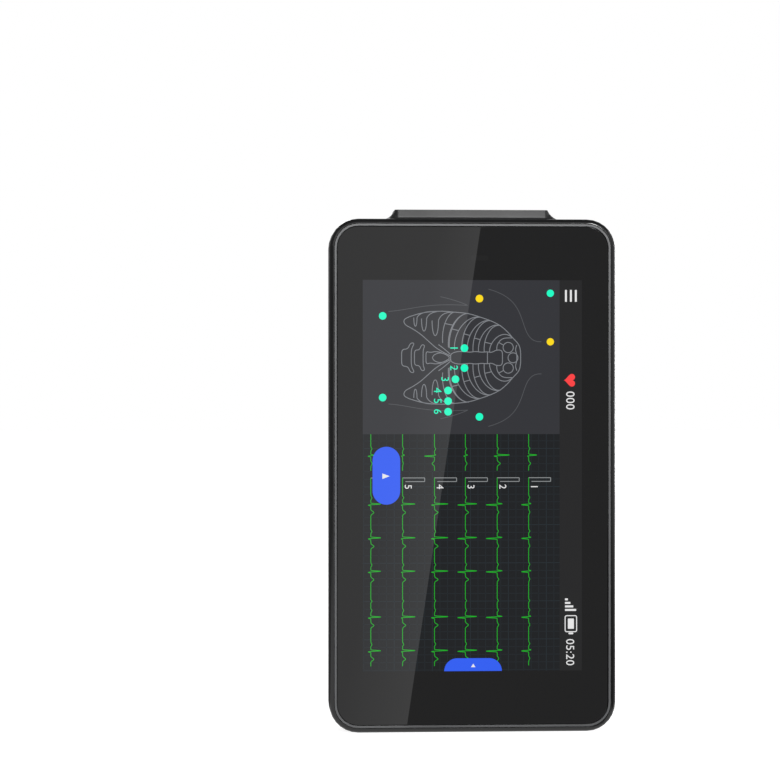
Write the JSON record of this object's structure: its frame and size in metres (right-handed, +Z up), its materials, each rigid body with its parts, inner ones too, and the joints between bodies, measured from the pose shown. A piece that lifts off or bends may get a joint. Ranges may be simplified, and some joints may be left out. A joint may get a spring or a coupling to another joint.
{
  "type": "handheld ecg monitor",
  "caption": "Slim black handheld ECG monitor: glass touchscreen front, D-shaped lead socket on a raised top plinth, side keys and a screwed rear cover with camera and speaker grille.",
  "frame": {"origin": "middle of the footprint, under the lower end of the device standing on it", "axes": "+Z up along the device towards the lead socket, screen facing -Y, side keys on +X"},
  "size_m": [0.0896, 0.02, 0.1631],
  "materials": {
    "black_abs": "fine matt spark texture, moulded",
    "dark_abs": "smooth satin",
    "trim_grey": "satin",
    "black_glass": "polished, printed black behind",
    "smoked_window": "polished, smoke tinted",
    "black_rubber": "matt",
    "nickel_steel": "nickel plated",
    "black_steel": "black oxide",
    "magnesium": "as cast",
    "green_laminate": "solder mask",
    "amber_polyimide": "film",
    "black_nylon": "moulded",
    "cell_wrap": "laminated foil, dark",
    "grey_foam": "soft foam"
  },
  "bodies": {
    "monitor": {"aerial": "amber_polyimide", "battery_cell_front": "cell_wrap", "battery_cell_rear": "cell_wrap", "battery_guard_board": "green_laminate", "battery_pad": "grey_foam", "board_link": "black_nylon", "board_screw_1": "nickel_steel", "board_screw_2": "nickel_steel", "board_screw_3": "nickel_steel", "board_screw_4": "nickel_steel", "camera_window": "smoked_window", "card_holder": "nickel_steel", "charging_port_shell": "nickel_steel", "charging_port_tongue": "black_nylon", "chassis": "magnesium", "cover_glass": "black_glass", "display_backplate": "nickel_steel", "display_flex": "amber_polyimide", "display_trim": "trim_grey", "front_bezel": "black_abs", "glass_gasket": "black_rubber", "lcd_panel": "black_glass", "lead_socket_insulator": "black_nylon", "lead_socket_jack_1": "nickel_steel", "lead_socket_jack_2": "nickel_steel", "lead_socket_shell": "nickel_steel", "light_sensor": "black_nylon", "main_board": "green_laminate", "main_shield": "nickel_steel", "microphone": "nickel_steel", "port_board": "green_laminate", "processor": "black_nylon", "rear_camera_module": "black_nylon", "rear_cover": "black_abs", "rear_cover_screw_1": "black_steel", "rear_cover_screw_2": "black_steel", "rear_cover_screw_3": "black_steel", "rear_cover_screw_4": "black_steel", "rear_cover_seal": "black_rubber", "rear_housing": "black_abs", "side_key_board": "amber_polyimide", "side_key_switch_1": "nickel_steel", "side_key_switch_2": "nickel_steel", "side_key_switch_3": "nickel_steel", "side_key_switch_4": "nickel_steel", "signal_board": "green_laminate", "signal_shield": "nickel_steel", "speaker_mesh": "black_steel", "speaker_module": "black_nylon", "vibration_motor": "nickel_steel"},
    "power_button": {"power_key": "dark_abs"},
    "volume_button": {"volume_rocker": "dark_abs"},
    "record_button": {"record_key": "dark_abs"}
  },
  "joints": [
    {"name": "power_press", "type": "slide", "parent": "monitor", "child": "power_button", "axis": [-1, 0, 0], "range_m": [0, 0.0003], "stiffness_N_per_m": 40},
    {"name": "record_press", "type": "slide", "parent": "monitor", "child": "record_button", "axis": [-1, 0, 0], "range_m": [0, 0.0003], "stiffness_N_per_m": 40},
    {"name": "volume_rock", "type": "hinge", "parent": "monitor", "child": "volume_button", "pos_m": [0.04155, -0.0031, 0.08], "axis": [0, 1, 0], "range_deg": [-0.8, 0.8], "stiffness_Nm_per_rad": 0.01}
  ]
}
